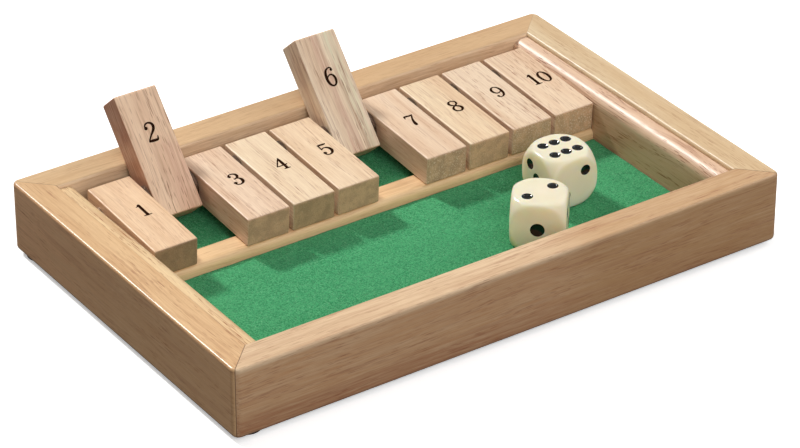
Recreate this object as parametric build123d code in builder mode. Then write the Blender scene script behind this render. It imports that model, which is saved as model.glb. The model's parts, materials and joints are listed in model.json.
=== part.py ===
from build123d import *
from math import asin, atan2, cos, degrees, hypot, radians, sin
import os

# A shut the box game: a mitred wooden case, a felt-lined dice tray at the players' side, and ten numbered
# tiles that turn on one steel rod at the back. Two tiles lean raised against the back rail and eight lie
# forward on a rest bar. Two dice stand in the tray.
#
# Millimetres. +X runs along the tile row from tile 1 to tile 10, +Y from the players' side to the tiles,
# +Z up. The origin is on the standing surface, midway along the case and midway between its front face and
# the top corner of the raised tiles, which lean out past its back face.

# Case rails
case_length = 181.0
case_depth = 117.8
rail_height = 21.8
rail_thickness = 9.8
corner_radius = 2.2
outer_edge_radius = 0.85
inner_edge_radius = 1.0
lower_edge_radius = 1.5

# Base panel, which slides in a groove round the rails
panel_thickness = 3.0
panel_lift = 2.8
groove_depth = 3.0
groove_play = 0.1
panel_edge_gap = 0.4

# Rubber feet under the corners, stuck on by eye
foot_diameter = 8.6
foot_height = 1.2
foot_edge_radius = 0.4
foot_inset = 6.0
front_left_foot_inset_x = 7.0
front_right_foot_inset_y = 7.2
back_left_foot_inset_x = 5.4

# Felt lining
felt_thickness = 0.7
felt_edge_gap = 0.3

# Cheeks, which stand inside the short rails and carry the rod
cheek_thickness = 5.2
cheek_height = 14.8
cheek_round_radius = 3.0
cheek_eased_radius = 0.4
joinery_gap = 0.1

# Rest bar, on which the tiles' free ends lie
bar_width = 7.5
bar_height = 3.6
bar_round_radius = 2.2
tile_bay_depth = 33.4

# Tiles
tile_count = 10
tile_thickness = 8.9
heel_length = 7.2
heel_radius = 0.6
toe_radius = 0.6
tile_edge_radius = 0.4
toe_setback = 0.2
row_end_play = 1.8
row_shift = 0.6
heel_floor_clearance = 0.6
heel_back_clearance = 2.6
rest_gap = 0.1
lean_gap = 0.1
raised_tiles = (2, 6)

# Rod and the washers that space the tiles
rod_radius = 2.0
rod_seat_depth = 3.0
rod_seat_gap = 0.05
rod_end_gap = 0.3
tile_running_gap = 0.06
washer_radius = 4.0
washer_thickness = 1.0
washer_bore_gap = 0.08
washer_play = 0.2

# Dice: cubes turned down to a ball, with dimples for pips
die_size = 16.0
die_ball_radius = 11.0
die_edge_radius = 0.6
pip_radius = 1.6
lone_pip_radius = 2.05
pip_depth = 0.5
pip_spread = 3.3
six_pip_pitch = 3.9
six_pip_row = 3.0
far_die_from_right_cheek = 28.2
far_die_from_front_rail = 36.0
far_die_turn = -1.5
near_die_from_right_cheek = 47.5
near_die_from_front_rail = 19.2
near_die_turn = -40.5

# Heights above the standing surface
rail_bottom = foot_height
rail_top = rail_bottom + rail_height
panel_bottom = rail_bottom + panel_lift
panel_top = panel_bottom + panel_thickness
felt_top = panel_top + felt_thickness
bar_top = panel_top + bar_height

# Places along X, from the middle outwards
inner_x = case_length / 2 - rail_thickness
cheek_x = inner_x - cheek_thickness
tile_gap = washer_thickness + 2 * washer_play
tile_width = (2 * cheek_x - row_end_play - (tile_count - 1) * tile_gap) / tile_count
tile_pitch = tile_width + tile_gap
row_start_x = row_shift - (tile_count * tile_pitch - tile_gap) / 2

# The rod is placed so that a tile's heel clears the felt and the back rail as it turns
heel_swing = hypot(heel_length, tile_thickness / 2)
rod_z = felt_top + heel_swing + heel_floor_clearance
rod_to_back_rail = heel_swing + heel_back_clearance
rod_to_bar_front = tile_bay_depth + bar_width - rod_to_back_rail
tile_reach = rod_to_bar_front - toe_setback
tile_length = heel_length + tile_reach

# A lying tile's underside meets the rounded front edge of the bar: this is how far its toe dips
bar_round_out = rod_to_bar_front - bar_round_radius
bar_round_down = rod_z - (bar_top - bar_round_radius)
bar_distance = tile_thickness / 2 + bar_round_radius + rest_gap
bar_round_span = hypot(bar_round_out, bar_round_down)
dip_angle = atan2(bar_round_down, bar_round_out) - asin(bar_distance / bar_round_span)

# A raised tile's back meets the eased inner edge of the back rail: this is its slope from level
rail_round_out = rod_to_back_rail + inner_edge_radius
rail_round_up = rail_top - inner_edge_radius - rod_z
rail_distance = tile_thickness / 2 + inner_edge_radius + lean_gap
rail_round_span = hypot(rail_round_out, rail_round_up)
lean_angle = atan2(rail_round_up, rail_round_out) + asin(rail_distance / rail_round_span)

# Places along Y, with the raised tiles' reach behind the rod counted in
toe_out = (tile_reach - toe_radius) * cos(lean_angle)
toe_back = (tile_thickness / 2 - toe_radius) * sin(lean_angle)
raised_reach = toe_out + toe_back + toe_radius
overhang = raised_reach - rod_to_back_rail - rail_thickness
front_y = -(case_depth + overhang) / 2
back_y = front_y + case_depth
middle_y = (front_y + back_y) / 2
inner_front_y = front_y + rail_thickness
inner_back_y = back_y - rail_thickness
rod_y = inner_back_y - rod_to_back_rail
bar_back_y = inner_back_y - tile_bay_depth
bar_front_y = bar_back_y - bar_width

os.makedirs("parts", exist_ok=True)

# %% Case rails: one moulded frame, mitred at its four corners
inner_length = 2 * inner_x
inner_depth = inner_back_y - inner_front_y

with BuildPart() as frame_ring:
    with BuildSketch(Plane.XY.offset(rail_bottom)):
        with Locations((0, middle_y)):
            RectangleRounded(case_length, case_depth, corner_radius)
            Rectangle(inner_length, inner_depth, mode=Mode.SUBTRACT)
    extrude(amount=rail_height)
    top_face = frame_ring.faces().sort_by(Axis.Z)[-1]
    fillet(top_face.outer_wire().edges(), outer_edge_radius)
    top_face = frame_ring.faces().sort_by(Axis.Z)[-1]
    fillet(top_face.inner_wires()[0].edges(), inner_edge_radius)
    bottom_face = frame_ring.faces().sort_by(Axis.Z)[0]
    fillet(bottom_face.outer_wire().edges(), lower_edge_radius)
    with BuildSketch(Plane.XY.offset(panel_bottom)):
        with Locations((0, middle_y)):
            Rectangle(inner_length + 2 * groove_depth, inner_depth + 2 * groove_depth)
    extrude(amount=panel_thickness + groove_play, mode=Mode.SUBTRACT)

outer_x = case_length / 2
outer_corners = [(-outer_x, front_y), (outer_x, front_y), (outer_x, back_y), (-outer_x, back_y)]
inner_corners = [
    (-inner_x, inner_front_y),
    (inner_x, inner_front_y),
    (inner_x, inner_back_y),
    (-inner_x, inner_back_y),
]

for side, name in enumerate(("front_rail", "right_rail", "back_rail", "left_rail")):
    after = (side + 1) % 4
    mitres = [outer_corners[side], outer_corners[after], inner_corners[after], inner_corners[side]]
    with BuildPart() as rail:
        add(frame_ring.part)
        with BuildSketch(Plane.XY.offset(rail_bottom)):
            with BuildLine():
                Polyline(*mitres, close=True)
            make_face()
        extrude(amount=rail_height, mode=Mode.INTERSECT)
    rail.part.label = name
    export_step(rail.part, f"parts/{name}.step")

# %% Base panel
panel_reach = groove_depth - panel_edge_gap

with BuildPart() as base_panel:
    with BuildSketch(Plane.XY.offset(panel_bottom)):
        with Locations((0, middle_y)):
            Rectangle(inner_length + 2 * panel_reach, inner_depth + 2 * panel_reach)
    extrude(amount=panel_thickness)
base_panel.part.label = "base_panel"
export_step(base_panel.part, "parts/base_panel.step")

# %% Feet: one pad under each corner, across the mitre
foot_x = outer_x - foot_inset
foot_spots = {
    "foot_front_left": (front_left_foot_inset_x - outer_x, front_y + foot_inset),
    "foot_front_right": (foot_x, front_y + front_right_foot_inset_y),
    "foot_back_left": (back_left_foot_inset_x - outer_x, back_y - foot_inset),
    "foot_back_right": (foot_x, back_y - foot_inset),
}

for name, spot in foot_spots.items():
    with BuildPart() as foot:
        with BuildSketch(Plane.XY):
            with Locations(spot):
                Circle(foot_diameter / 2)
        extrude(amount=foot_height)
        fillet(foot.edges().group_by(Axis.Z)[0], foot_edge_radius)
    foot.part.label = name
    export_step(foot.part, f"parts/{name}.step")

# %% Cheeks: round towards the tray, eased at the rail, with a blind seat for the rod
with BuildPart() as right_cheek:
    with BuildSketch(Plane.XY.offset(panel_top)):
        with Locations(((cheek_x + inner_x) / 2, middle_y)):
            Rectangle(cheek_thickness, inner_depth - 2 * joinery_gap)
    extrude(amount=cheek_height)
    top_edges = right_cheek.edges().filter_by(Axis.Y).group_by(Axis.Z)[-1].sort_by(Axis.X)
    fillet(top_edges[0], cheek_round_radius)
    top_edges = right_cheek.edges().filter_by(Axis.Y).group_by(Axis.Z)[-1].sort_by(Axis.X)
    fillet(top_edges[-1], cheek_eased_radius)
    with BuildSketch(Plane.YZ.offset(cheek_x)):
        with Locations((rod_y, rod_z)):
            Circle(rod_radius + rod_seat_gap)
    extrude(amount=rod_seat_depth, mode=Mode.SUBTRACT)
right_cheek.part.label = "right_cheek"
export_step(right_cheek.part, "parts/right_cheek.step")

with BuildPart() as left_cheek:
    mirror(right_cheek.part, about=Plane.YZ)
left_cheek.part.label = "left_cheek"
export_step(left_cheek.part, "parts/left_cheek.step")

# %% Rest bar
with BuildPart() as rest_bar:
    with BuildSketch(Plane.XY.offset(panel_top)):
        with Locations((0, (bar_front_y + bar_back_y) / 2)):
            Rectangle(2 * (cheek_x - joinery_gap), bar_width)
    extrude(amount=bar_height)
    top_edges = rest_bar.edges().filter_by(Axis.X).group_by(Axis.Z)[-1].sort_by(Axis.Y)
    fillet(top_edges[0], bar_round_radius)
rest_bar.part.label = "rest_bar"
export_step(rest_bar.part, "parts/rest_bar.step")

# %% Felt: one piece in the dice tray and one under the tiles
felt_length = 2 * (cheek_x - felt_edge_gap)
felt_bays = {"tray_felt": (inner_front_y, bar_front_y), "tile_bay_felt": (bar_back_y, inner_back_y)}

for name, (bay_front, bay_back) in felt_bays.items():
    with BuildPart() as felt:
        with BuildSketch(Plane.XY.offset(panel_top)):
            with Locations((0, (bay_front + bay_back) / 2)):
                Rectangle(felt_length, bay_back - bay_front - 2 * felt_edge_gap)
        extrude(amount=felt_thickness)
    felt.part.label = name
    export_step(felt.part, f"parts/{name}.step")

# %% Hinge rod, held at both ends in the cheeks
rod_end_x = cheek_x + rod_seat_depth - rod_end_gap

with BuildPart() as hinge_rod:
    with BuildSketch(Plane.YZ.offset(-rod_end_x)):
        with Locations((rod_y, rod_z)):
            Circle(rod_radius)
    extrude(amount=2 * rod_end_x)
hinge_rod.part.label = "hinge_rod"
export_step(hinge_rod.part, "parts/hinge_rod.step")

# %% Washers, one between each two tiles
with BuildPart() as spacer_washers:
    for gap in range(1, tile_count):
        washer_x = row_start_x + gap * tile_pitch - tile_gap + washer_play
        with BuildSketch(Plane.YZ.offset(washer_x)):
            with Locations((rod_y, rod_z)):
                Circle(washer_radius)
                Circle(rod_radius + washer_bore_gap, mode=Mode.SUBTRACT)
        extrude(amount=washer_thickness)
spacer_washers.part.label = "spacer_washers"
export_step(spacer_washers.part, "parts/spacer_washers.step")

# %% Tiles: the profile lies in a plane across the rod, with its x from the rod towards the toe
toe_when_lying = (0, -cos(dip_angle), -sin(dip_angle))
toe_when_raised = (0, cos(lean_angle), sin(lean_angle))

for number in range(1, tile_count + 1):
    tile_x = row_start_x + (number - 1) * tile_pitch
    toe_direction = toe_when_raised if number in raised_tiles else toe_when_lying
    tile_plane = Plane(origin=(tile_x, rod_y, rod_z), x_dir=toe_direction, z_dir=(1, 0, 0))
    with BuildPart() as tile:
        with BuildSketch(tile_plane) as profile:
            with Locations(((tile_reach - heel_length) / 2, 0)):
                Rectangle(tile_length, tile_thickness)
            fillet(profile.vertices().group_by(Axis.X)[0], heel_radius)
            fillet(profile.vertices().group_by(Axis.X)[-1], toe_radius)
        extrude(amount=tile_width)
        fillet(tile.faces().filter_by(Axis.X).edges(), tile_edge_radius)
        with BuildSketch(tile_plane):
            Circle(rod_radius + tile_running_gap)
        extrude(amount=tile_width, mode=Mode.SUBTRACT)
    tile.part.label = f"tile_{number}"
    export_step(tile.part, f"parts/tile_{number}.step")

# %% Dice: each side is a plane at the middle of that face, and the pips are shallow dimples in it
half_die = die_size / 2
die_sides = {
    "up": Plane(origin=(0, 0, half_die), x_dir=(1, 0, 0), z_dir=(0, 0, 1)),
    "down": Plane(origin=(0, 0, -half_die), x_dir=(1, 0, 0), z_dir=(0, 0, -1)),
    "left": Plane(origin=(-half_die, 0, 0), x_dir=(0, -1, 0), z_dir=(-1, 0, 0)),
    "right": Plane(origin=(half_die, 0, 0), x_dir=(0, 1, 0), z_dir=(1, 0, 0)),
    "front": Plane(origin=(0, -half_die, 0), x_dir=(1, 0, 0), z_dir=(0, -1, 0)),
    "back": Plane(origin=(0, half_die, 0), x_dir=(-1, 0, 0), z_dir=(0, 1, 0)),
}
rising_pair = [(-pip_spread, -pip_spread), (pip_spread, pip_spread)]
falling_pair = [(-pip_spread, pip_spread), (pip_spread, -pip_spread)]
pip_spots = {
    1: [(0, 0)],
    2: rising_pair,
    3: falling_pair + [(0, 0)],
    4: rising_pair + falling_pair,
    5: rising_pair + falling_pair + [(0, 0)],
    6: [(step * six_pip_pitch, row) for step in (-1, 0, 1) for row in (-six_pip_row, six_pip_row)],
}
dice = {
    "far_die": (
        (cheek_x - far_die_from_right_cheek, inner_front_y + far_die_from_front_rail),
        far_die_turn,
        {"up": 6, "down": 1, "left": 3, "right": 4, "front": 2, "back": 5},
    ),
    "near_die": (
        (cheek_x - near_die_from_right_cheek, inner_front_y + near_die_from_front_rail),
        near_die_turn,
        {"up": 2, "down": 5, "left": 3, "right": 4, "front": 1, "back": 6},
    ),
}

for name, ((die_x, die_y), turn, shown) in dice.items():
    along = (cos(radians(turn)), sin(radians(turn)), 0)
    die_plane = Plane(origin=(die_x, die_y, felt_top + half_die), x_dir=along, z_dir=(0, 0, 1))
    with BuildPart(die_plane) as die:
        Sphere(die_ball_radius, rotation=(0, 0, 45))
        Box(die_size, die_size, die_size, mode=Mode.INTERSECT)
        fillet(die.edges().filter_by(GeomType.CIRCLE), die_edge_radius)
        for side_name, count in shown.items():
            opening = lone_pip_radius if count == 1 else pip_radius
            dimple_radius = (opening**2 + pip_depth**2) / (2 * pip_depth)
            with Locations(die_sides[side_name].offset(dimple_radius - pip_depth)):
                with Locations(*pip_spots[count]):
                    Sphere(dimple_radius, mode=Mode.SUBTRACT)
    die.part.label = name
    export_step(die.part, f"parts/{name}.step")

# %% Sizes that follow from the others
tray_depth = bar_front_y - inner_front_y
tile_swing = 180 - degrees(lean_angle) + degrees(dip_angle)
print(f"tile: {tile_length:.2f} long, {tile_width:.2f} wide, pitch {tile_pitch:.2f}")
print(f"tile row starts at x {row_start_x:.2f}")
print(f"rod axis: y {rod_y:.3f}, z {rod_z:.3f}")
print(f"rest bar front y {bar_front_y:.2f}, dice tray {tray_depth:.2f} deep")
print(f"toe dips {degrees(dip_angle):.3f}, raised tile slopes {degrees(lean_angle):.3f}")
print(f"tile swing {tile_swing:.3f} degrees")
print(f"front face y {front_y:.3f}, back face y {back_y:.3f}, overhang {overhang:.3f}")
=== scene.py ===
# %% [markdown]
# # A shut the box game
# The construction comes in as a fixed frame: mitred rails, a felt-lined tray, ten numbered tiles on one steel rod,
# and two dice. This notebook gives each piece its finish, makes the felt, the printed numerals and the cast dice,
# and then sets up the light and the camera. Lengths are in metres, as Blender has them, and the wood is worked
# out in millimetres, as a joiner would.

import json
import math

import bmesh
import bpy
import numpy as np
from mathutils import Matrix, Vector
from mathutils.geometry import delaunay_2d_cdt


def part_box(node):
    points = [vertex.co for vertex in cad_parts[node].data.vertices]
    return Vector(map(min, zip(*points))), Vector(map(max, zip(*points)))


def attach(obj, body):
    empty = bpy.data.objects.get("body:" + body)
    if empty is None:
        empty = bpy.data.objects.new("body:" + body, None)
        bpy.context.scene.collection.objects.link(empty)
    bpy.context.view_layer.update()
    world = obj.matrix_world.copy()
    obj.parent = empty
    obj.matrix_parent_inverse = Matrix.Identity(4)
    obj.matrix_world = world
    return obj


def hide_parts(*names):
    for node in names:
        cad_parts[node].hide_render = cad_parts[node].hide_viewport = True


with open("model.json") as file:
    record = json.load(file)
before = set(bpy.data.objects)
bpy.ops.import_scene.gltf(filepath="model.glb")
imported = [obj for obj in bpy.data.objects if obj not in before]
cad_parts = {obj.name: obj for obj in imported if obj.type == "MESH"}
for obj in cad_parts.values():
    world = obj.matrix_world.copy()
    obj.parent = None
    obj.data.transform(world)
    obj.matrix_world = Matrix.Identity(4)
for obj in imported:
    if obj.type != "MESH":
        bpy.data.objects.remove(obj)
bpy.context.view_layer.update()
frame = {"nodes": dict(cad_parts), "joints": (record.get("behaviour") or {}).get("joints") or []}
nodes = frame["nodes"]
mm_per_m = 1000.0
print("pieces that came in:", len(nodes))

# %% [markdown]
# ## A short way to write a finish
# A finish is a small sum worked out at every point of a surface. Blender wires such sums from nodes, which soon
# becomes a thicket when it is done by hand. Here a wire out of a node is wrapped in a class that knows
# Python's arithmetic, so that `1 - mask` adds the right node by itself.

# %% Wires that can be added and multiplied
class Wire:
    """One output of a shader node, with Python's arithmetic."""

    def __init__(self, finish, socket):
        self.finish, self.socket = finish, socket

    def work(self, operation, *values):
        inputs = dict(enumerate(values))
        return self.finish.node("ShaderNodeMath", {"operation": operation}, inputs)

    def __add__(self, other):
        return self.work("ADD", self, other)

    def __radd__(self, other):
        return self.work("ADD", other, self)

    def __sub__(self, other):
        return self.work("SUBTRACT", self, other)

    def __rsub__(self, other):
        return self.work("SUBTRACT", other, self)

    def __mul__(self, other):
        return self.work("MULTIPLY", self, other)

    def __rmul__(self, other):
        return self.work("MULTIPLY", other, self)

    def __truediv__(self, other):
        return self.work("DIVIDE", self, other)

    def __pow__(self, other):
        return self.work("POWER", self, other)

    def __abs__(self):
        return self.work("ABSOLUTE", self)

    def fraction(self):
        return self.work("FRACT", self)

    def rise(self, start, end):
        """0 up to start and 1 from end, with a soft step between. It falls if end is the lower one."""
        settings = {"interpolation_type": "SMOOTHSTEP", "clamp": True}
        inputs = {"Value": self, 1: min(start, end), 2: max(start, end)}
        step = self.finish.node("ShaderNodeMapRange", settings, inputs)
        return step if end > start else 1 - step


class Finish:
    """One material, made node by node."""

    def __init__(self, name):
        self.material = bpy.data.materials.new(name)
        self.material.use_nodes = True
        self.tree = self.material.node_tree
        self.tree.nodes.clear()

    def node(self, kind, settings=None, inputs=None, output=0):
        """A node of any type: first its settings, then the values or wires of its sockets."""
        made = self.tree.nodes.new(kind)
        for name, value in (settings or {}).items():
            setattr(made, name, value)
        for name, value in (inputs or {}).items():
            if isinstance(value, Wire):
                self.tree.links.new(value.socket, made.inputs[name])
            else:
                made.inputs[name].default_value = value
        return Wire(self, made.outputs[output]) if len(made.outputs) else None

    def vector(self, operation, *values, output=0):
        return self.node("ShaderNodeVectorMath", {"operation": operation}, dict(enumerate(values)), output)

    def millimetres(self, start=None):
        """The place of a point in millimetres, from a start in metres or else from the origin."""
        place = self.node("ShaderNodeTexCoord", {}, {}, output="Object")
        if start is not None:
            place = self.vector("SUBTRACT", place, tuple(start))
        return self.node("ShaderNodeVectorMath", {"operation": "SCALE"}, {0: place, "Scale": mm_per_m})

    def tint(self, amount, first, second, how="MIX"):
        """A colour between two others, by amount."""
        return self.node(
            "ShaderNodeMix",
            {"data_type": "RGBA", "blend_type": how, "clamp_factor": True},
            {0: amount, 6: first, 7: second},
            output=2,
        )

    def noise(self, place, detail=2.0, roughness=0.5):
        inputs = {"Vector": place, "Scale": 1.0, "Detail": detail, "Roughness": roughness}
        return self.node("ShaderNodeTexNoise", {}, inputs)

    def cells(self, place):
        """The distance to the nearest of many scattered points."""
        return self.node("ShaderNodeTexVoronoi", {}, {"Vector": place, "Scale": 1.0, "Randomness": 1.0})

    def shade(self, height=None, depth_mm=0.1, **sockets):
        """Ends the finish with one surface shader, which takes each named socket, and with its relief."""
        names = {name.replace("_", " ").title().replace("Ior", "IOR"): v for name, v in sockets.items()}
        if height is not None:
            relief = {"Height": height, "Distance": depth_mm / mm_per_m, "Strength": 1.0}
            names["Normal"] = self.node("ShaderNodeBump", {}, relief)
        surface = self.node("ShaderNodeBsdfPrincipled", {}, names)
        self.node("ShaderNodeOutputMaterial", {}, {"Surface": surface})
        return self.material


def paint(red, green, blue):
    """A colour as a screen shows it, 0 to 255, turned into the amounts of light that shaders use."""
    light = [(c / 255 / 12.92) if c <= 10 else ((c / 255 + 0.055) / 1.055) ** 2.4 for c in (red, green, blue)]
    return (*light, 1.0)


def wear(finish, *names):
    """Puts a finish on CAD pieces, by the pieces' names."""
    for name in names:
        for slot in nodes[name].material_slots:
            slot.material = finish


# %% [markdown]
# ## Where a point lies in its board
# Wood is solid, so its figure has to run through a board and not be wrapped round it. The trick is a set of
# coordinates that belongs to each board: millimetres along the grain, across the face, and down through the
# thickness. A tile that turns on the rod takes its grain along, because the numbers come from the piece itself
# and not from the room.

# %% Coordinates along, across and through a board
class Board(Finish):
    """A finish for one piece of wood, cut with its grain along one direction."""

    def __init__(self, name, start, along, across, cut):
        """start is a point of the board in metres, and cut is where in the log the board was."""
        super().__init__(name)
        place = self.millimetres(start)
        facing = self.node("ShaderNodeTexCoord", {}, {}, output="Normal")
        along, across = Vector(along).normalized(), Vector(across).normalized()
        through = along.cross(across)
        self.along = self.vector("DOT_PRODUCT", place, tuple(along), output=1)
        self.across = self.vector("DOT_PRODUCT", place, tuple(across), output=1)
        self.through = self.vector("DOT_PRODUCT", place, tuple(through), output=1)
        self.end = abs(self.vector("DOT_PRODUCT", facing, tuple(along), output=1)).rise(0.55, 0.85)
        self.flank = abs(self.vector("DOT_PRODUCT", facing, tuple(across), output=1)).rise(0.70, 0.95)
        self.cut, self.sway = cut, 0.0
        self.sway = (self.noise(self.stretch(0.022, 0.06, shift=50.0), detail=1.0) - 0.5) * 3.2

    def stretch(self, along, across, shift=0.0):
        """A place for a texture, drawn out along the grain: features per millimetre each way."""
        parts = {
            "X": (self.along + (self.cut * 61.0 + shift)) * along,
            "Y": (self.across + self.sway + self.cut * 17.0) * across,
            "Z": (self.through + self.sway + self.cut * 29.0) * across,
        }
        return self.node("ShaderNodeCombineXYZ", {}, parts)

    def patch(self, along, across, edge=2.0, jitter=3.0):
        """1 inside a part of the board, given as (from, to) in millimetres each way, with a ragged soft edge."""
        ragged = (self.noise(self.stretch(0.08, 0.5, shift=77.0), detail=2.0) - 0.5) * jitter
        mask = 1.0
        for here, (low, high) in ((self.along + ragged * 2.0, along), (self.across + ragged, across)):
            mask = here.rise(low - edge, low + edge) * here.rise(high + edge, high - edge) * mask
        return mask


print("a board's grain is set by where it starts and which way it runs")

# %% [markdown]
# ## The wood
# The case and the tiles are rubberwood, a pale tan hardwood with a pink cast. Close to, four things make it:
# broad bands of growth that run nearly straight, soft redder streaks, fine fibres, and long open pores that
# show as short dark flecks. The pores are cells of a scattered pattern drawn out ten to twenty times along the
# grain, so that a face cuts them into dashes. Where the saw cut across the grain, they are dots.

# %% The figure of rubberwood
def rubberwood(board, pale, deep, streak, flecks=1.0, lines=1.0, bands=0.5, streaks=0.5, gloss=0.35,
               gloss_roughness=0.22, seams=None, zones=(), ends=1.0, sparkle=0.6):
    """Grain, pores, end grain and varnish for one board. Colours are paints; the rest are strengths."""
    from_heart, heart_spread, heart_side, ring_width, taper = 34.0, 9.0, 21.0, 1.55, 0.02
    heart = board.across + board.sway * 2.0 + (from_heart + heart_spread * math.sin(board.cut * 2.1))
    side = board.through + heart_side * math.cos(board.cut * 1.3)
    ring = (heart * heart + side * side) ** 0.5 + board.along * (taper * math.sin(board.cut * 3.7))
    growth = (ring / ring_width).fraction() ** 2.0
    broad = board.noise(board.stretch(0.014, 0.16), detail=2.0).rise(0.34, 0.70)
    fibre = board.noise(board.stretch(0.060, 1.90), detail=3.0, roughness=0.62) - 0.5
    hair = board.noise(board.stretch(0.22, 3.4, shift=150.0), detail=2.0, roughness=0.6) - 0.5
    ribbon = board.noise(board.stretch(0.022, 0.60, shift=400.0), detail=3.0, roughness=0.6).rise(0.52, 0.72)

    group = board.noise(board.stretch(0.045, 0.28, shift=900.0), detail=1.0).rise(0.34, 0.62)
    edge = abs(board.noise(board.stretch(0.020, 0.70, shift=700.0), detail=2.0, roughness=0.45) - 0.5)
    long_lines = edge.rise(0.024, 0.004) * group * lines
    long_pores = board.cells(board.stretch(0.065, 1.30, shift=30.0)).rise(0.25, 0.13) * group
    short_pores = board.cells(board.stretch(0.17, 1.8, shift=200.0)).rise(0.27, 0.15) * (0.30 + group * 0.70)
    pores = (long_pores * 0.50 + short_pores * 0.50) * flecks

    colour = board.tint(broad * 0.75, pale, deep)
    # A zone lays another colour over part of a board; on some boards it is painted shade.
    for mask, zone_colour, amount in zones:
        colour = board.tint(mask * (amount + fibre * 1.6), colour, zone_colour)
    colour = board.tint(growth * group * bands, colour, streak)
    colour = board.tint(ribbon * (0.55 * streaks), colour, streak)
    fibre_tone = fibre * 0.34 + hair * 0.34
    warmth = {0: 1 + fibre_tone * 0.7, 1: 1 + fibre_tone, 2: 1 + fibre_tone * 1.25}
    warmth = board.node("ShaderNodeCombineColor", {}, warmth)
    colour = board.tint(1.0, colour, warmth, how="MULTIPLY")
    pore_share = (0.66, 0.44, 0.36, 1)
    dark = tuple(share * light for share, light in zip(pore_share, streak))
    colour = board.tint(long_lines * 0.42, colour, dark)
    colour = board.tint(pores * (1 - board.end), colour, dark)

    clumps = board.noise(board.stretch(0.30, 0.30, shift=10.0), detail=3.0).rise(0.38, 0.62)
    dots = board.noise(board.stretch(3.0, 3.0, shift=20.0), detail=2.0).rise(0.52, 0.70)
    glints = board.noise(board.stretch(2.7, 2.7, shift=5.0), detail=1.0).rise(0.57, 0.64)
    end_shares = (0.99, 0.86, 0.78), (0.79, 0.69, 0.63), (0.46, 0.38, 0.31)
    light, dim, pit = (tuple(k * ends * c for k, c in zip(share, deep[:3])) + (1.0,) for share in end_shares)
    sawn = board.tint(clumps, light, dim)
    sawn = board.tint(dots * 0.40, sawn, pit)
    sawn = board.tint(glints * sparkle, sawn, pale)
    colour = board.tint(board.end, colour, sawn)

    relief = 0.5 + fibre * 0.4 + hair * 0.4 - pores * 0.3
    rough = 0.42 + hair * 0.3 + pores * 0.25 + board.end * 0.14
    varnish = gloss * (1 - pores * 0.8) * (1 - board.end * 0.7)
    if seams is not None:
        seam_brown = paint(84, 50, 30)
        colour = board.tint(seams, colour, seam_brown)
        relief = relief - seams * 1.2
        varnish = varnish * (1 - seams)
    return board.shade(
        height=relief, depth_mm=0.045, base_color=colour, roughness=rough, coat_weight=varnish,
        coat_roughness=gloss_roughness, specular_ior_level=0.40,
    )


print("one recipe of wood, and a cut of the log for each board")

# %% [markdown]
# ## The case
# Four rails meet in mitres, and each takes its grain along its own length, so the figure turns the corner
# sharply there. The joints were glued and sanded flush, and what remains is a brown hairline. It is a band
# 0.2 mm wide about the plane of each mitre, which leans at 45 degrees through the corner of the case.

# %% The rails
case_low, case_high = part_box("front_rail")[0].copy(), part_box("back_rail")[1].copy()
case_low.x, case_high.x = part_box("left_rail")[0].x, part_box("right_rail")[1].x

# Each corner of the case, and how plainly its mitre shows
mitres = {
    "front_left": (case_low.x, case_low.y, 0.75), "front_right": (case_high.x, case_low.y, 0.65),
    "back_left": (case_low.x, case_high.y, 0.50), "back_right": (case_high.x, case_high.y, 0.18),
}


def mitre_lines(board, half_width=0.10, reach=30.0):
    """Where a board lies close to the plane of a mitre, within reach of its corner. Some show more than others."""
    place = board.node("ShaderNodeTexCoord", {}, {}, output="Object")
    middle = (case_low + case_high) / 2
    lines = None
    for x, y, strength in mitres.values():
        lean_x, lean_y = (1.0 if x < middle.x else -1.0), (1.0 if y < middle.y else -1.0)
        normal = Vector((lean_x, -lean_y, 0.0)).normalized()
        offset = normal.dot(Vector((x, y, 0.0)))
        away = abs(board.vector("DOT_PRODUCT", place, tuple(normal), output=1) - offset) * mm_per_m
        near = (board.vector("DISTANCE", place, (x, y, case_high.z), output=1) * mm_per_m).rise(reach, reach - 4.0)
        line = away.rise(half_width * 1.5, half_width * 0.5) * near * strength
        lines = line if lines is None else lines.work("MAXIMUM", lines, line)
    return lines


rail_woods = {
    "front_rail": dict(
        along=(1, 0, 0), across=(0, 0, 1), cut=1.0, bands=0.10, streaks=0.6, flecks=0.8, lines=0.8, gloss=0.15,
        pale=(226, 196, 160), deep=(208, 174, 138), streak=(166, 112, 82),
    ),
    "right_rail": dict(
        along=(0, 1, 0), across=(1, 0, 0), cut=2.3, bands=0.08, streaks=0.25, flecks=0.9, lines=0.7, gloss=0.1,
        pale=(221, 197, 161), deep=(206, 174, 133), streak=(176, 134, 98),
    ),
    "back_rail": dict(
        along=(1, 0, 0), across=(0, 1, 0), cut=3.1, bands=0.10, streaks=0.25, flecks=0.5, lines=0.3, gloss=0.2,
        pale=(222, 188, 146), deep=(210, 172, 128), streak=(168, 118, 80),
    ),
    "left_rail": dict(
        along=(0, 1, 0), across=(1, 0, 0), cut=4.4, bands=0.12, streaks=0.6, flecks=0.8, lines=0.7, gloss=0.42,
        pale=(226, 188, 142), deep=(212, 170, 124), streak=(168, 112, 76),
    ),
}
whole, whole_height = (-9.0, 400.0), (-4.0, 40.0)
inner_back = (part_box("left_cheek")[1].y - case_low.y) * mm_per_m
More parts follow.
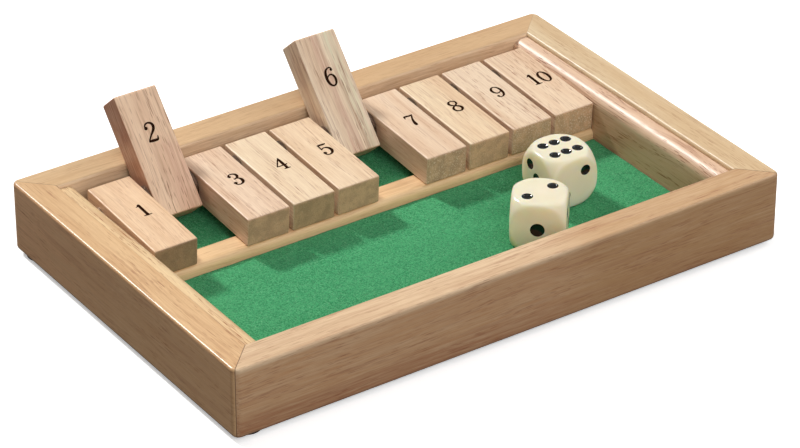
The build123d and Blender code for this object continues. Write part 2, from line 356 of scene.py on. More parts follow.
for name, wood in rail_woods.items():
    board = Board(name + "_wood", case_low, wood["along"], wood["across"], wood["cut"])
    strengths = {key: wood[key] for key in ("bands", "streaks", "flecks", "lines", "gloss")}
    colours = {key: paint(*wood[key]) for key in ("pale", "deep", "streak")}
    zones = []
    if name == "front_rail":
        # The faces below the top are painted darker than the top of the same board: painted shade on faces turned
        # from the lamps.
        face = board.patch(whole, (-4.0, 20.4), edge=0.5, jitter=0.5)
        low_streaks = board.patch(whole, (-4.0, 6.0)) * (board.along.rise(150.0, 20.0) * 0.5 + 0.5)
        right_end = board.patch((110.0, 400.0), whole_height, edge=12.0)
        zones = [
            (face, paint(190, 142, 100), 0.65),
            (low_streaks, paint(158, 102, 72), 0.45),
            (right_end, paint(184, 142, 98), 0.6),
        ]
    if name == "left_rail":
        # The outer face is painted darker than the top, a little less towards the back: painted shade on a face
        # turned from the lamps.
        shaded_outer_face = board.patch(whole, (-4.0, 0.4), edge=0.3, jitter=0.2)
        towards_back = shaded_outer_face * board.along.rise(50.0, 118.0)
        zones = [(shaded_outer_face, paint(196, 148, 100), 0.6), (towards_back, paint(222, 170, 124), 0.6)]
    if name == "back_rail":
        inside = board.patch(whole, (inner_back - 0.6, inner_back + 0.4), edge=0.3, jitter=0.2)
        right_part = board.patch((60.0, 400.0), (-400.0, 400.0), edge=30.0)
        zones = [(right_part, paint(200, 162, 120), 0.5), (inside, paint(236, 206, 172), 0.7)]
    wear(rubberwood(board, seams=mitre_lines(board), zones=zones, **colours, **strengths), name)
print("rails finished:", ", ".join(rail_woods))

# %% [markdown]
# ## The strips inside the case
# The cheeks are low strips with a rounded inner edge, and they had more varnish than the rest: the round
# catches a long white highlight. The rest bar is a paler offcut. The panel under the felt is only seen
# from below, where it is bare plywood.

# %% Cheeks, rest bar and panel
strip_woods = {
    "right_cheek": dict(
        along=(0, 1, 0), across=(0, 0, 1), cut=5.2, gloss=1.0, sheen=0.48, marks=1.6,
        pale=(228, 194, 164), deep=(214, 176, 144), streak=(172, 122, 90),
    ),
    "left_cheek": dict(
        along=(0, 1, 0), across=(0, 0, 1), cut=6.7, gloss=0.8, sheen=0.40, marks=1.6,
        pale=(232, 202, 156), deep=(218, 180, 130), streak=(190, 140, 96),
    ),
    "rest_bar": dict(
        along=(1, 0, 0), across=(0, 1, 0), cut=7.5, gloss=0.4, sheen=0.40, marks=0.7,
        pale=(234, 198, 152), deep=(224, 184, 136), streak=(200, 150, 108),
    ),
    "base_panel": dict(
        along=(1, 0, 0), across=(0, 1, 0), cut=8.8, gloss=0.0, sheen=0.40, marks=1.6,
        pale=(214, 184, 142), deep=(200, 164, 120), streak=(176, 132, 92),
    ),
}
for name, wood in strip_woods.items():
    board = Board(name + "_wood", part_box(name)[0], wood["along"], wood["across"], wood["cut"])
    colours = {key: paint(*wood[key]) for key in ("pale", "deep", "streak")}
    zones = []
    if name == "right_cheek":
        # The cheek's upright face towards the tray is painted darker: painted shade.
        shaded_cheek_wall = board.patch(whole, (-4.0, 11.0), edge=1.0, jitter=0.5)
        zones = [(shaded_cheek_wall, paint(190, 142, 104), 0.6)]
    finish = rubberwood(
        board, gloss=wood["gloss"], gloss_roughness=wood["sheen"], streaks=0.8, bands=0.25,
        flecks=wood["marks"], lines=wood["marks"], zones=zones, **colours,
    )
    wear(finish, name)
print("strips finished:", ", ".join(strip_woods))

# %% [markdown]
# ## The tiles
# Each tile was cut from a different stick, so each has its own tint and its own part of the log. The grain
# runs from heel to toe, which is a different direction for a lying tile and for a raised one. The range of
# its joint tells which of the two a tile is: one that can only turn down from here is raised.

# %% How each tile lies
hinges = {joint["child"]: joint for joint in frame["joints"] if joint["type"] == "hinge"}
rod_y, rod_z = hinges["tile_1"]["pos_m"][1:]
tile_thickness = 0.0089
lying_dip, raised_slope = math.radians(3.319), math.radians(48.422)


def tile_axes(name):
    """The direction from the rod to the toe, and that of the face that is printed upright at rest."""
    raised = hinges[name]["range_deg"][0] < 0
    if raised:
        toe = Vector((0, math.cos(raised_slope), math.sin(raised_slope)))
        return toe, Vector((0, -toe.z, toe.y)), raised
    toe = Vector((0, -math.cos(lying_dip), -math.sin(lying_dip)))
    return toe, Vector((0, toe.z, -toe.y)), raised


# In each tile's list, sides is how strongly its side faces are painted with the shade and reflected wood of the
# gaps.
tile_woods = {
    "tile_1": dict(
        cut=11.3, flecks=0.6, lines=0.7, streaks=0.3, bands=0.05, ends=0.50, sparkle=0.08, sides=0.2,
        pale=(236, 202, 166), deep=(228, 190, 152),
    ),
    "tile_2": dict(
        cut=12.9, flecks=1.2, lines=0.9, streaks=0.8, bands=0.12, ends=0.90, sparkle=0.3, sides=0.8,
        pale=(246, 212, 180), deep=(232, 192, 160),
    ),
    "tile_3": dict(
        cut=13.4, flecks=1.0, lines=0.7, streaks=0.5, bands=0.25, ends=0.80, sparkle=0.12, sides=0.4,
        pale=(236, 208, 180), deep=(222, 186, 154),
    ),
    "tile_4": dict(
        cut=14.8, flecks=0.9, lines=0.7, streaks=0.3, bands=0.30, ends=0.63, sparkle=0.12, sides=0.2,
        pale=(238, 214, 182), deep=(226, 194, 156),
    ),
    "tile_5": dict(
        cut=15.6, flecks=0.8, lines=0.5, streaks=0.3, bands=0.15, ends=0.79, sparkle=0.12, sides=0.2,
        pale=(238, 212, 180), deep=(226, 194, 158),
    ),
    "tile_6": dict(
        cut=16.1, flecks=1.1, lines=0.9, streaks=0.9, bands=0.45, ends=0.90, sparkle=0.3, sides=0.0,
        pale=(248, 226, 198), deep=(232, 200, 168),
    ),
    "tile_7": dict(
        cut=17.7, flecks=0.6, lines=0.4, streaks=0.3, bands=0.12, ends=0.80, sparkle=0.55, sides=0.35,
        pale=(234, 208, 180), deep=(224, 190, 158),
    ),
    "tile_8": dict(
        cut=18.2, flecks=0.7, lines=0.6, streaks=0.5, bands=0.18, ends=0.81, sparkle=0.25, sides=0.2,
        pale=(236, 212, 178), deep=(226, 192, 156),
    ),
    "tile_9": dict(
        cut=19.5, flecks=1.2, lines=1.0, streaks=0.5, bands=0.15, ends=0.90, sparkle=0.7, sides=0.2,
        pale=(234, 210, 182), deep=(222, 190, 156),
    ),
    "tile_10": dict(
        cut=20.6, flecks=1.3, lines=1.1, streaks=0.6, bands=0.20, ends=0.97, sparkle=0.7, sides=0.2,
        pale=(234, 208, 178), deep=(222, 187, 154),
    ),
}
whole_tile, streak_brown = (-10.0, 40.0), paint(176, 122, 92)
for name, wood in tile_woods.items():
    toe, face, raised = tile_axes(name)
    start = Vector((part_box(name)[0].x, rod_y, rod_z))
    board = Board(name + "_wood", start, toe, (1, 0, 0), wood["cut"])
    # The side faces, which stand in the narrow gaps, are painted a darker red-brown: painted shade and painted
    # reflection of the neighbouring tiles.
    zones = [(board.flank, paint(180, 124, 96), wood["sides"])]
    if name == "tile_2":
        pink_heel = board.patch((-10.0, 13.0), (7.0, 20.0))
        zones.append((pink_heel, paint(198, 134, 112), 0.26))
    if name == "tile_6":
        rose_band = board.patch(whole_tile, (4.8, 7.4), edge=0.8)
        pale_band = board.patch(whole_tile, (9.0, 12.4), edge=0.8)
        zones = [(rose_band, paint(204, 150, 126), 0.45), (pale_band, paint(228, 216, 184), 0.60)]
    strengths = {key: wood[key] for key in ("flecks", "lines", "streaks", "bands", "ends", "sparkle")}
    colours = {key: paint(*wood[key]) for key in ("pale", "deep")}
    finish = rubberwood(board, streak=streak_brown, gloss=0.3, zones=zones, **colours, **strengths)
    wear(finish, name)
print("tiles finished:", len(tile_woods))

# %% [markdown]
# ## The numerals
# The numbers are stamped in dark ink with a broad pen's contrast: thick uprights, thin joins and round ends.
# A font file would do it, but then the shape isn't ours. Instead each figure is a few strokes of a pen, given
# as points with the pen's width at each, in millimetres from the middle of the figure. A smooth line runs
# through the points, the strokes are laid over each other, and a triangulation that respects every outline
# joins them into one flat film.

# %% The pen's strokes for each figure
figures = {
    "1": [
        [(-0.12, 2.80, 0.62), (-0.12, 1.0, 0.66), (-0.12, -1.2, 0.66), (-0.12, -2.45, 0.70)],
        [(-1.15, 2.18, 0.16), (-0.75, 2.30, 0.30), (-0.40, 2.55, 0.50), (-0.12, 2.80, 0.62)],
        [(-1.22, -2.62, 0.24), (-0.6, -2.58, 0.34), (-0.12, -2.50, 0.50), (0.4, -2.58, 0.34), (1.0, -2.62, 0.24)],
    ],
    "2": [
        [(-0.95, 1.52, 0.74)],
        [(-1.16, 1.62, 0.34), (-1.12, 2.15, 0.30), (-0.72, 2.70, 0.34), (0.02, 2.92, 0.34), (0.86, 2.66, 0.46),
         (1.36, 2.02, 0.60), (1.38, 1.30, 0.62), (0.98, 0.52, 0.56), (0.30, -0.24, 0.44), (-0.46, -1.08, 0.36),
         (-1.10, -1.96, 0.34), (-1.30, -2.38, 0.34)],
        [(-1.30, -2.44, 0.36), (-0.70, -2.40, 0.52), (0.20, -2.42, 0.56), (1.05, -2.42, 0.54), (1.42, -2.28, 0.46),
         (1.60, -1.80, 0.30), (1.68, -1.36, 0.16)],
    ],
    "3": [
        [(-1.00, 1.92, 0.76)],
        [(-1.18, 2.02, 0.34), (-0.98, 2.56, 0.34), (-0.30, 2.86, 0.34), (0.46, 2.78, 0.42), (1.06, 2.32, 0.58),
         (1.22, 1.62, 0.64), (0.98, 0.92, 0.56), (0.42, 0.46, 0.40), (-0.36, 0.26, 0.26)],
        [(0.20, 0.40, 0.28), (0.92, 0.16, 0.42), (1.36, -0.46, 0.62), (1.42, -1.20, 0.70), (1.18, -2.02, 0.60),
         (0.54, -2.60, 0.42), (-0.26, -2.78, 0.36), (-0.98, -2.44, 0.36), (-1.22, -1.86, 0.38)],
        [(-1.06, -1.62, 0.80)],
    ],
    "4": [
        [(0.70, 3.02, 0.30), (0.64, 1.6, 0.62), (0.62, -0.6, 0.64), (0.62, -2.40, 0.62)],
        [(0.76, 3.00, 0.26), (0.10, 2.02, 0.30), (-0.84, 0.58, 0.30), (-1.66, -0.72, 0.26)],
        [(-1.70, -0.76, 0.24), (-0.60, -0.76, 0.30), (0.62, -0.74, 0.32), (1.28, -0.66, 0.34), (1.66, -0.46, 0.18)],
        [(-0.28, -2.56, 0.22), (0.22, -2.52, 0.34), (0.62, -2.44, 0.46), (1.04, -2.52, 0.34), (1.52, -2.56, 0.22)],
    ],
    "5": [
        [(-0.96, 2.62, 0.44), (-0.30, 2.64, 0.52), (0.52, 2.60, 0.56), (1.10, 2.64, 0.46), (1.50, 2.78, 0.20)],
        [(-0.96, 2.66, 0.30), (-1.02, 1.50, 0.30), (-1.08, 0.30, 0.28)],
        [(-1.08, 0.30, 0.24), (-0.56, 0.74, 0.30), (0.14, 0.90, 0.36), (0.90, 0.60, 0.54), (1.36, -0.14, 0.66),
         (1.42, -1.06, 0.68), (1.06, -2.00, 0.58), (0.36, -2.62, 0.42), (-0.44, -2.76, 0.34), (-1.10, -2.42, 0.34),
         (-1.30, -1.80, 0.36)],
        [(-1.10, -1.58, 0.78)],
    ],
    "6": [
        [(0.90, 2.12, 0.60)],
        [(1.12, 2.16, 0.24), (0.90, 2.66, 0.28), (0.24, 2.86, 0.30), (-0.58, 2.52, 0.40), (-1.16, 1.70, 0.56),
         (-1.42, 0.50, 0.62), (-1.40, -0.80, 0.62), (-1.02, -1.90, 0.54), (-0.36, -2.54, 0.38), (0.34, -2.58, 0.36),
         (0.96, -2.04, 0.48), (1.24, -1.10, 0.56), (1.14, -0.14, 0.50), (0.64, 0.56, 0.38), (-0.02, 0.76, 0.32),
         (-0.70, 0.50, 0.26), (-1.20, -0.10, 0.22)],
    ],
    "7": [
        [(-1.52, 1.56, 0.18), (-1.38, 2.10, 0.34), (-1.16, 2.52, 0.54), (-0.50, 2.56, 0.54), (0.40, 2.44, 0.52),
         (1.06, 2.56, 0.42), (1.36, 2.68, 0.24)],
        [(1.32, 2.66, 0.26), (0.98, 1.94, 0.32), (0.52, 1.08, 0.38), (0.14, 0.10, 0.48), (-0.14, -1.00, 0.62),
         (-0.26, -1.90, 0.74), (-0.28, -2.36, 0.70)],
    ],
    "8": [
        [(0.02, 2.74, 0.32), (-0.74, 2.50, 0.44), (-1.16, 1.76, 0.58), (-0.94, 0.92, 0.54), (-0.20, 0.26, 0.44),
         (0.62, -0.30, 0.52), (1.24, -1.10, 0.64), (1.14, -2.06, 0.58), (0.44, -2.74, 0.42), (-0.38, -2.78, 0.38),
         (-1.14, -2.26, 0.50), (-1.38, -1.36, 0.56), (-1.00, -0.52, 0.46), (-0.20, 0.06, 0.36), (0.56, 0.54, 0.38),
         (1.12, 1.22, 0.48), (1.12, 2.08, 0.46), (0.62, 2.62, 0.36), (0.02, 2.74, 0.32)],
    ],
    "9": [
        [(-1.00, -2.02, 0.64)],
        [(-1.16, -2.14, 0.26), (-0.86, -2.60, 0.28), (-0.12, -2.72, 0.30), (0.70, -2.22, 0.44), (1.24, -1.20, 0.58),
         (1.44, 0.10, 0.60), (1.34, 1.40, 0.56), (0.92, 2.30, 0.42), (0.14, 2.74, 0.32), (-0.66, 2.40, 0.44),
         (-1.18, 1.50, 0.58), (-1.18, 0.50, 0.56), (-0.72, -0.34, 0.40), (0.02, -0.58, 0.32), (0.72, -0.28, 0.28),
         (1.20, 0.24, 0.22)],
    ],
    "0": [
        [(0.0, 2.74, 0.34), (-0.90, 2.10, 0.52), (-1.34, 0.90, 0.64), (-1.36, -0.50, 0.64), (-1.02, -1.90, 0.54),
         (-0.30, -2.74, 0.36), (0.40, -2.72, 0.36), (1.06, -1.96, 0.52), (1.38, -0.60, 0.64), (1.34, 0.90, 0.64),
         (0.90, 2.10, 0.52), (0.0, 2.74, 0.34)],
    ],
}
print("figures drawn:", " ".join(figures))

# %% [markdown]
# A stroke of a single point is a ball, as at the start of a 2. For the others the pen's width is set off at
# each side of a Catmull-Rom line, which passes through every point that was given, and the two ends are
# rounded by a half circle.

# %% From strokes to one flat film
pen_weight = 1.42
ball_steps, cap_steps = 24, 12


def smooth_line(points, steps=7):
    """Points on a Catmull-Rom line through the given ones, with the pen's width carried along."""
    ring = [Vector(p) for p in points]
    before, after = ring[0] * 2 - ring[1], ring[-1] * 2 - ring[-2]
    if (ring[0] - ring[-1]).length < 1e-6:
        before, after = ring[-2], ring[1]
    ring = [before] + ring + [after]
    line = []
    for a, b, c, d in zip(ring, ring[1:], ring[2:], ring[3:]):
        for step in range(steps):
            t = step / steps
            bend, twist = 2 * a - 5 * b + 4 * c - d, 3 * b - a - 3 * c + d
            line.append(0.5 * (2 * b + (c - a) * t + bend * t**2 + twist * t**3))
    return line + [ring[-2]]


def in_turn(corners):
    """The same corners in order round their middle, so that no quad crosses itself in a tight bend."""
    x, y = (sum(corner[k] for corner in corners) / len(corners) for k in (0, 1))
    return sorted(corners, key=lambda corner: math.atan2(corner[1] - y, corner[0] - x))


def round_shape(x, y, width, steps):
    """The corners of a round as wide as the pen."""
    turns = [2 * math.pi * k / steps for k in range(steps)]
    return [(x + width / 2 * math.cos(t), y + width / 2 * math.sin(t)) for t in turns]


def stroke_shapes(points):
    """The flat shapes that one stroke covers: a quad for each step of the pen and a round at each end."""
    points = [(x, y, width * pen_weight) for x, y, width in points]
    if len(points) == 1:
        return [round_shape(*points[0], ball_steps)]
    line = smooth_line(points)
    rims = []
    for k, here in enumerate(line):
        ahead, behind = line[min(k + 1, len(line) - 1)], line[max(k - 1, 0)]
        run = Vector((ahead.x - behind.x, ahead.y - behind.y)).normalized()
        side = Vector((-run.y, run.x)) * here.z / 2
        rims.append(((here.x + side.x, here.y + side.y), (here.x - side.x, here.y - side.y)))
    shapes = [in_turn([a[0], a[1], b[1], b[0]]) for a, b in zip(rims, rims[1:])]
    return shapes + [round_shape(*here, cap_steps) for here in (line[0], line[-1])]


def ink_film(text, spacing=3.55):
    """Corners and triangles of a number, in millimetres, its middle at 0."""
    corners, outlines = [], []
    for place, figure in enumerate(text):
        shift = (place - (len(text) - 1) / 2) * spacing
        for stroke in figures[figure]:
            for shape in stroke_shapes(stroke):
                outlines.append(list(range(len(corners), len(corners) + len(shape))))
                corners += [Vector((x + shift, y)) for x, y in shape]
    flat, _, triangles, _, _, owners = delaunay_2d_cdt(corners, [], outlines, 0, 1e-5)
    return flat, [triangle for triangle, owner in zip(triangles, owners) if owner]


ink = Finish("stamped_ink")
worn = ink.noise(ink.vector("MULTIPLY", ink.millimetres(), (4.0, 1.2, 4.0)), detail=3.0).rise(0.50, 0.78)
fresh_ink, rubbed_ink = paint(46, 27, 18), paint(90, 56, 38)
ink_colour = ink.tint(worn * 0.3, fresh_ink, rubbed_ink)
ink_finish = ink.shade(
    height=worn, depth_mm=0.01, base_color=ink_colour, roughness=0.75 - worn * 0.1, specular_ior_level=0.0,
)
film_proud = 0.00003


def stamp(name, text, middle, right, up, body):
    """A film of ink 0.03 mm proud of a face and sunk as much in it, so that no light gets under its edge."""
    flat, triangles = ink_film(text)
    mesh = bmesh.new()
    out = right.cross(up)
    points = [mesh.verts.new(middle + (right * p.x + up * p.y) / mm_per_m - out * film_proud) for p in flat]
    for triangle in triangles:
        mesh.faces.new([points[k] for k in triangle])
    bmesh.ops.delete(mesh, geom=[v for v in mesh.verts if not v.link_faces], context="VERTS")
    bottom = list(mesh.faces)
    lifted = bmesh.ops.extrude_face_region(mesh, geom=bottom, use_keep_orig=True)["geom"]
    lifted = [v for v in lifted if isinstance(v, bmesh.types.BMVert)]
    bmesh.ops.translate(mesh, verts=lifted, vec=out * film_proud * 2)
    bmesh.ops.recalc_face_normals(mesh, faces=mesh.faces)
    data = bpy.data.meshes.new(name)
    mesh.to_mesh(data)
    mesh.free()
    data.materials.append(ink_finish)
    piece = bpy.data.objects.new(name, data)
    bpy.context.scene.collection.objects.link(piece)
    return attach(piece, body)


# %% [markdown]
# A tile is printed on both faces. The upper face of a lying tile reads from the player's side with the top of
# the number towards the rod. When the tile is flipped up its other face comes round to the player, and there
# the number's top points to the toe. Both prints sit a little differently, as the two stamps did.

# %% Stamp the tiles on both faces
upper_print = {"from_rod": 0.01014, "from_left": 0.0081}
under_print = {"from_rod": 0.01693, "from_left": 0.00675}
lower_by = {6: 0.00075}

for number in range(1, 11):
    name = f"tile_{number}"
    toe, face, raised = tile_axes(name)
    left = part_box(name)[0].x
    under = face if raised else -face
    sides = ("upper", -under, -toe, upper_print), ("under", under, toe, under_print)
    for side, out, up, print_place in sides:
        right = up.cross(out)
        from_left = print_place["from_left"]
        if right.x < 0:
            from_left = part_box(name)[1].x - left - from_left
        from_rod = print_place["from_rod"] - lower_by.get(number, 0.0)
        middle = Vector((left + from_left, rod_y, rod_z)) + toe * from_rod
        middle = middle + out * tile_thickness / 2
        stamp(f"numeral_{number}_{side}", str(number), middle, right, up, name)
print("numerals stamped: 20")

# %% [markdown]
# ## The felt
# The construction keeps a flat slab in each bay. Real felt is a mat of fibres: its face is never quite flat,
# and it dips at the edges where it was glued. Where fibre ends catch the light it glitters a little, and this
# is painted into its colour as small pale specks, a painted glint. Each slab is replaced by a fine grid, raised
# and lowered by many small waves, with a short thick edge.

# %% Weave the felt
felt = Finish("green_felt")
spot = felt.millimetres()
mat = felt.noise(felt.vector("MULTIPLY", spot, (1.9, 1.9, 1.9)), detail=3.0, roughness=0.65)
clouds = felt.noise(felt.vector("MULTIPLY", spot, (0.16, 0.16, 0.16)), detail=3.0).rise(0.3, 0.7)
fibre_ends_and_glints = felt.noise(felt.vector("MULTIPLY", spot, (2.9, 2.9, 2.9)), detail=2.0).rise(0.55, 0.70)
green = felt.tint(mat.rise(0.30, 0.70), paint(27, 119, 70), paint(76, 172, 115))
green = felt.tint(clouds * 0.20, green, paint(64, 152, 100))
# Painted glint: pale specks on the fibre ends stand for the light they catch.
green = felt.tint(fibre_ends_and_glints * 0.42, green, paint(150, 216, 172))
felt_finish = felt.shade(
    height=mat + fibre_ends_and_glints * 0.3, depth_mm=0.35, base_color=green, roughness=0.95, sheen_weight=0.25,
    sheen_roughness=0.5, sheen_tint=paint(170, 220, 185), specular_ior_level=0.15,
)


grid_step, wave_count, wave_height = 0.0005, 24, 0.000012
edge_dip, edge_width, nap_down = 0.00018, 0.0007, 0.00004


def felt_sheet(name, replaced, seed):
    """A mat of felt in place of a flat slab: its own face, edges and underside."""
    low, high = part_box(replaced)
    size = high - low
    columns, rows = round(size.x / grid_step), round(size.y / grid_step)
    draw = np.random.default_rng(seed)
    waves = [
        (draw.uniform(60, 900), draw.uniform(0, math.tau), draw.uniform(0, math.tau))
        for _ in range(wave_count)
    ]
    xs = np.linspace(0, size.x, columns + 1)
    ys = np.linspace(0, size.y, rows + 1)
    gx, gy = np.meshgrid(xs, ys, indexing="ij")
    swell = np.zeros_like(gx)
    for pitch, turn, phase in waves:
        swell += np.sin((gx * math.cos(turn) + gy * math.sin(turn)) * pitch + phase)
    swell *= wave_height
    rim = np.minimum(np.minimum(gx, size.x - gx), np.minimum(gy, size.y - gy))
    dip = edge_dip * np.exp(-rim / edge_width)
    height = np.clip(swell - dip - nap_down, -0.0003, 0.0)
    top = np.stack([gx + low.x, gy + low.y, height + high.z], -1).reshape(-1, 3)
    across = rows + 1
    faces = [
        (c * across + r, (c + 1) * across + r, (c + 1) * across + r + 1, c * across + r + 1)
        for c in range(columns) for r in range(rows)
    ]
    rim_points = [c * across for c in range(columns + 1)]
    rim_points += [columns * across + r for r in range(1, rows + 1)]
    rim_points += [c * across + rows for c in range(columns - 1, -1, -1)]
    rim_points += [r for r in range(rows - 1, 0, -1)]
    count = len(top)
    under = [(top[k][0], top[k][1], low.z) for k in rim_points]
    for k, here in enumerate(rim_points):
        after = (k + 1) % len(rim_points)
        faces.append((here, count + k, count + after, rim_points[after]))
    faces.append(tuple(range(count + len(rim_points) - 1, count - 1, -1)))
    data = bpy.data.meshes.new(name)
    data.from_pydata([*map(tuple, top), *under], [], faces)
    upper = columns * rows
    data.polygons.foreach_set("use_smooth", [True] * upper + [False] * (len(faces) - upper))
    data.materials.append(felt_finish)
    piece = bpy.data.objects.new(name, data)
    bpy.context.scene.collection.objects.link(piece)
    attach(piece, "case")
    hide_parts(replaced)


felt_sheet("felt_of_tray", "tray_felt", seed=3)
felt_sheet("felt_under_tiles", "tile_bay_felt", seed=8)
print("felt laid in both bays")

# %% [markdown]
# ## Steel, rubber and the dice
# The rod and the washers are plated steel, with fine turned lines on the washers. In the narrow gaps between
# the tiles they mirror the wood, and their colour is painted a dim brown as well: painted reflection of that
# wood and painted shade in the gaps, so they read as warm dark specks. The feet are dull black rubber.

# %% Steel and rubber
steel = Finish("bright_steel")
spot = steel.millimetres()
rib_pitch = 0.42
across_ribs = steel.vector("DOT_PRODUCT", spot, (0.0, 0.86, 0.5), output=1)
ribs = (across_ribs / rib_pitch).fraction().rise(0.42, 0.62)
drawn = steel.noise(steel.vector("MULTIPLY", spot, (3.0, 0.9, 0.9)), detail=3.0)
stain = steel.noise(steel.vector("MULTIPLY", spot, (0.7, 0.7, 0.7)), detail=2.0).rise(0.45, 0.75)
# Painted reflection and painted shade: the washers' colour is a dim brown for the wood they mirror in the gaps. The
# stain noise makes it patchy.
steel_with_painted_reflection = steel.tint(stain * 0.6, paint(124, 100, 84), paint(78, 60, 50))
steel_with_painted_reflection = steel.tint(ribs * 0.55, steel_with_painted_reflection, paint(56, 46, 42))
wear(
    steel.shade(height=drawn, depth_mm=0.06, base_color=steel_with_painted_reflection, metallic=1.0, roughness=0.36 + drawn * 0.2),
    "spacer_washers",
)

# The rod's colour is painted a dim brown too: painted reflection of the wood and painted shade in the gaps where it
# shows.
rod_steel_dimmed = Finish("rod_steel_painted_dim")
drawn = rod_steel_dimmed.noise(rod_steel_dimmed.vector("MULTIPLY", rod_steel_dimmed.millimetres(), (0.04, 3.0, 3.0)), detail=3.0)
wear(
    rod_steel_dimmed.shade(
        height=drawn, depth_mm=0.02, base_color=rod_steel_dimmed.tint(drawn, paint(150, 128, 110), paint(182, 160, 140)),
        metallic=1.0, roughness=0.40 + drawn * 0.15,
    ),
    "hinge_rod",
)

pad = Finish("foot_rubber")
crumb = pad.noise(pad.vector("MULTIPLY", pad.millimetres(), (5.0, 5.0, 5.0)), detail=3.0)
black = pad.tint(crumb, paint(20, 20, 20), paint(44, 43, 42))
wear(
    pad.shade(height=crumb, depth_mm=0.05, base_color=black, roughness=0.75 + crumb * 0.15),
    "foot_front_left", "foot_front_right", "foot_back_left", "foot_back_right",
)
print("steel and rubber finished")

# %% [markdown]
# ## The dice
# They are ivory plastic with a soft inner glow, and their pips are dimples filled with glossy black paint, so
# the paint is chosen by distance from each pip's middle. A die's own directions come from how it was thrown,
# and a pip is found in steps: the middle of a face, then across and up on that face. Opposite faces add
# up to seven.

# %% The dice and their pips
half_die, felt_top = 0.008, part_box("tray_felt")[1].z
pip_spread, six_pitch, six_row = 0.0033, 0.0039, 0.0030
pip_radius, lone_pip_radius, pip_depth = 0.00160, 0.00205, 0.00055
ball_radius = 0.0112
rising = [(-pip_spread, -pip_spread), (pip_spread, pip_spread)]
falling = [(-pip_spread, pip_spread), (pip_spread, -pip_spread)]
pip_spots = {
    1: [(0, 0)],
    2: rising,
    3: falling + [(0, 0)],
    4: rising + falling,
    5: rising + falling + [(0, 0)],
    6: [(step * six_pitch, row) for step in (-1, 0, 1) for row in (-six_row, six_row)],
}
die_faces = {
    "up": ((0, 0, 1), (1, 0, 0)), "down": ((0, 0, -1), (1, 0, 0)), "left": ((-1, 0, 0), (0, -1, 0)),
    "right": ((1, 0, 0), (0, 1, 0)), "front": ((0, -1, 0), (1, 0, 0)), "back": ((0, 1, 0), (-1, 0, 0)),
}
throws = {
    "far_die": (-1.5, {"up": 6, "down": 1, "left": 3, "right": 4, "front": 2, "back": 5}),
    "near_die": (-40.5, {"up": 2, "down": 5, "left": 3, "right": 4, "front": 1, "back": 6}),
}


def thrown(turn):
    """The turn of a die about the upright, as a function on vectors."""
    angle = math.radians(turn)
    c, s = math.cos(angle), math.sin(angle)
    return lambda v: Vector((v[0] * c - v[1] * s, v[0] * s + v[1] * c, v[2]))


def pips_of(turned, shown):
    """Each pip of a die: the way its face looks, its middle from the die's middle, and its radius."""
    for face, count in shown.items():
        normal, right = (turned(v) for v in die_faces[face])
        up = normal.cross(right)
        for across, rise in pip_spots[count]:
            radius = lone_pip_radius if count == 1 else pip_radius
            yield normal, normal * half_die + right * across + up * rise, radius


def ivory(name, middle, pips):
    """Ivory plastic with the pips of one die in black."""
    die = Finish(name + "_plastic")
    place = die.node("ShaderNodeTexCoord", {}, {}, output="Object")
    paint_mask = None
    for normal, pip, radius in pips:
        away = die.vector("DISTANCE", place, tuple(middle + pip), output=1) * mm_per_m
        rim = radius * mm_per_m
        spot = away.rise(rim + 0.05, rim - 0.03)
        paint_mask = spot if paint_mask is None else paint_mask.work("MAXIMUM", paint_mask, spot)
    cloud = die.noise(die.vector("MULTIPLY", place, (160.0, 160.0, 160.0)), detail=2.0)
    ivory_colour = die.tint(cloud, paint(231, 220, 192), paint(238, 230, 208))
    colour = die.tint(paint_mask, ivory_colour, paint(12, 12, 13))
    scuffs = die.noise(die.vector("MULTIPLY", place, (900.0, 900.0, 900.0)), detail=3.0)
    return die.shade(
        height=scuffs, depth_mm=0.004, base_color=colour,
        roughness=(0.16 + scuffs * 0.10) * (1 - paint_mask * 0.55), specular_ior_level=0.45, ior=1.5,
        subsurface_weight=0.8, subsurface_radius=(1.0, 0.72, 0.40), subsurface_scale=0.008,
    )


die_cuts, softness, face_depth = 79, 30.0, 0.0005


def moulded_die(name, turn, shown):
    """A cube with ball-turned corners. A high power mean of cube and ball runs one softly into the other."""
    low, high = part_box(name)
    middle, turned = (low + high) / 2, thrown(turn)
    middle.z = felt_top + half_die
    pips = list(pips_of(turned, shown))
    mesh = bmesh.new()
    bmesh.ops.create_cube(mesh, size=2.0)
    bmesh.ops.subdivide_edges(mesh, edges=mesh.edges, cuts=die_cuts, use_grid_fill=True)
    for corner in mesh.verts:
        way = Vector([math.tan(c * math.pi / 4) for c in corner.co]).normalized()
        limits = [abs(c) / half_die for c in way] + [1 / ball_radius]
        stiffest = max(limits)
        reach = stiffest * sum((limit / stiffest) ** softness for limit in limits) ** (1 / softness)
        here = turned(way / reach)
        for normal, pip, radius in pips:
            away = here - pip
            deep = (away - normal * away.dot(normal)).length / radius
            if deep < 1.0 and abs(away.dot(normal)) < face_depth:
                here = here - normal * pip_depth * (1 - deep**2)
                break
        corner.co = here + middle
    data = bpy.data.meshes.new(name + "_cast")
    mesh.to_mesh(data)
    mesh.free()
    data.polygons.foreach_set("use_smooth", [True] * len(data.polygons))
    data.materials.append(ivory(name, middle, pips))
    piece = bpy.data.objects.new(name + "_cast", data)
    bpy.context.scene.collection.objects.link(piece)
    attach(piece, name)
    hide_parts(name)


for name, (turn, shown) in throws.items():
    moulded_die(name, turn, shown)
print("dice painted:", ", ".join(throws))

# %% [markdown]
# ## The room
# The game stands on a plain white table. One small bright lamp behind it and to the left draws the crisp
# shadows that fall towards the player, and the white line along the rounded strip. Three broad soft lamps, on
# the player's side, above and to the right, and a pale room fill the rest. Only the camera sees the table as
# pure white: what the table throws back at the rails is dimmer.

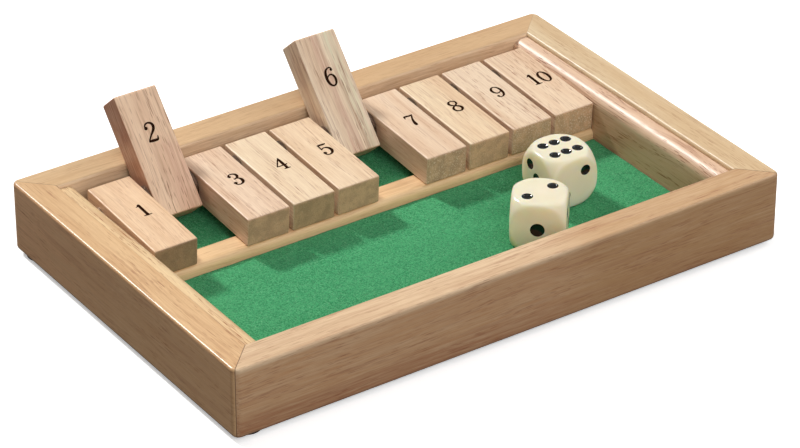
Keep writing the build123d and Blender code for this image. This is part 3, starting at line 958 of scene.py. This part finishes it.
# %% Table and lights
def backdrop(name, low, high):
    mesh = bpy.data.meshes.new(name)
    corners = [(low[0], low[1], 0), (high[0], low[1], 0), (high[0], high[1], 0), (low[0], high[1], 0)]
    mesh.from_pydata(corners, [], [(0, 1, 2, 3)])
    table = bpy.data.objects.new(name, mesh)
    bpy.context.scene.collection.objects.link(table)
    return table


table = backdrop("white_table", (-4.0, -4.0), (4.0, 6.0))
cloth = Finish("white_table")
seen = cloth.node("ShaderNodeLightPath", {}, {}, output="Is Camera Ray")
returned, added, full = 0.155, 0.42, 1.0
shown_white = cloth.tint(seen, (returned,) * 3 + (full,), (full,) * 4)
glow = cloth.tint(seen, (0.0, 0.0, 0.0, full), (added,) * 3 + (full,))
finish = cloth.shade(
    base_color=shown_white, roughness=1.0, specular_ior_level=0.0, emission_color=glow, emission_strength=1.0,
)
table.data.materials.append(finish)


def lamp(name, kind, towards, strength, colour=(1.0, 1.0, 1.0), **settings):
    """A lamp in the direction given, aimed at the middle of the case."""
    light = bpy.data.lights.new(name, kind)
    light.energy, light.color = strength, colour
    for setting, value in settings.items():
        setattr(light, setting, value)
    stand = bpy.data.objects.new(name, light)
    stand.location = Vector(towards)
    stand.rotation_euler = (-Vector(towards)).to_track_quat("-Z", "Y").to_euler()
    bpy.context.scene.collection.objects.link(stand)


key_direction, key_distance = Vector((-0.155, 0.705, 0.690)), 2.0
lamp("key_lamp", "SUN", key_direction * key_distance, 2.62, (1.0, 0.985, 0.96), angle=math.radians(7.5))
lamp("front_box", "AREA", (-0.25, -1.15, 0.85), 10.7, shape="RECTANGLE", size=1.2, size_y=0.8)
lamp("top_box", "AREA", (0.0, 0.0, 1.5), 2.3, shape="RECTANGLE", size=1.2, size_y=1.2)
lamp("right_box", "AREA", (1.2, -0.3, 1.0), 8.0, shape="RECTANGLE", size=1.0, size_y=1.0)

room = bpy.data.worlds.new("pale_room")
bpy.context.scene.world = room
room.use_nodes = True
room.node_tree.nodes.clear()
wiring = room.node_tree
path = wiring.nodes.new("ShaderNodeLightPath")
brightness, fill_strength = None, 0.06
for ray, strength in (("Is Camera Ray", 1.0), ("Is Glossy Ray", 0.34)):
    step = wiring.nodes.new("ShaderNodeMix")
    step.inputs["A"].default_value, step.inputs["B"].default_value = fill_strength, strength
    if brightness is not None:
        wiring.links.new(brightness, step.inputs["A"])
    wiring.links.new(path.outputs[ray], step.inputs["Factor"])
    brightness = step.outputs["Result"]
air = wiring.nodes.new("ShaderNodeBackground")
air.inputs["Color"].default_value = (1.0, 1.0, 1.0, 1.0)
wiring.links.new(brightness, air.inputs["Strength"])
wiring.links.new(air.outputs[0], wiring.nodes.new("ShaderNodeOutputWorld").inputs["Surface"])

# %% [markdown]
# ## The camera
# It looks down at 31 degrees from the front left corner, from about a metre away through a long lens, which
# keeps the rails nearly parallel.

# %% Camera
looks_down, turned_right = math.radians(30.938), math.radians(34.227)
view = bpy.data.cameras.new("camera")
view.sensor_width = 36.0
view.lens = 167.64
camera = bpy.data.objects.new("camera", view)
camera.location = (-0.50668, -0.74755, 0.54843)
camera.rotation_euler = (math.pi / 2 - looks_down, 0.0, -turned_right)
bpy.context.scene.collection.objects.link(camera)
bpy.context.scene.camera = camera
bpy.context.scene.view_settings.view_transform = "Standard"
print("camera at", tuple(round(v, 3) for v in camera.location))
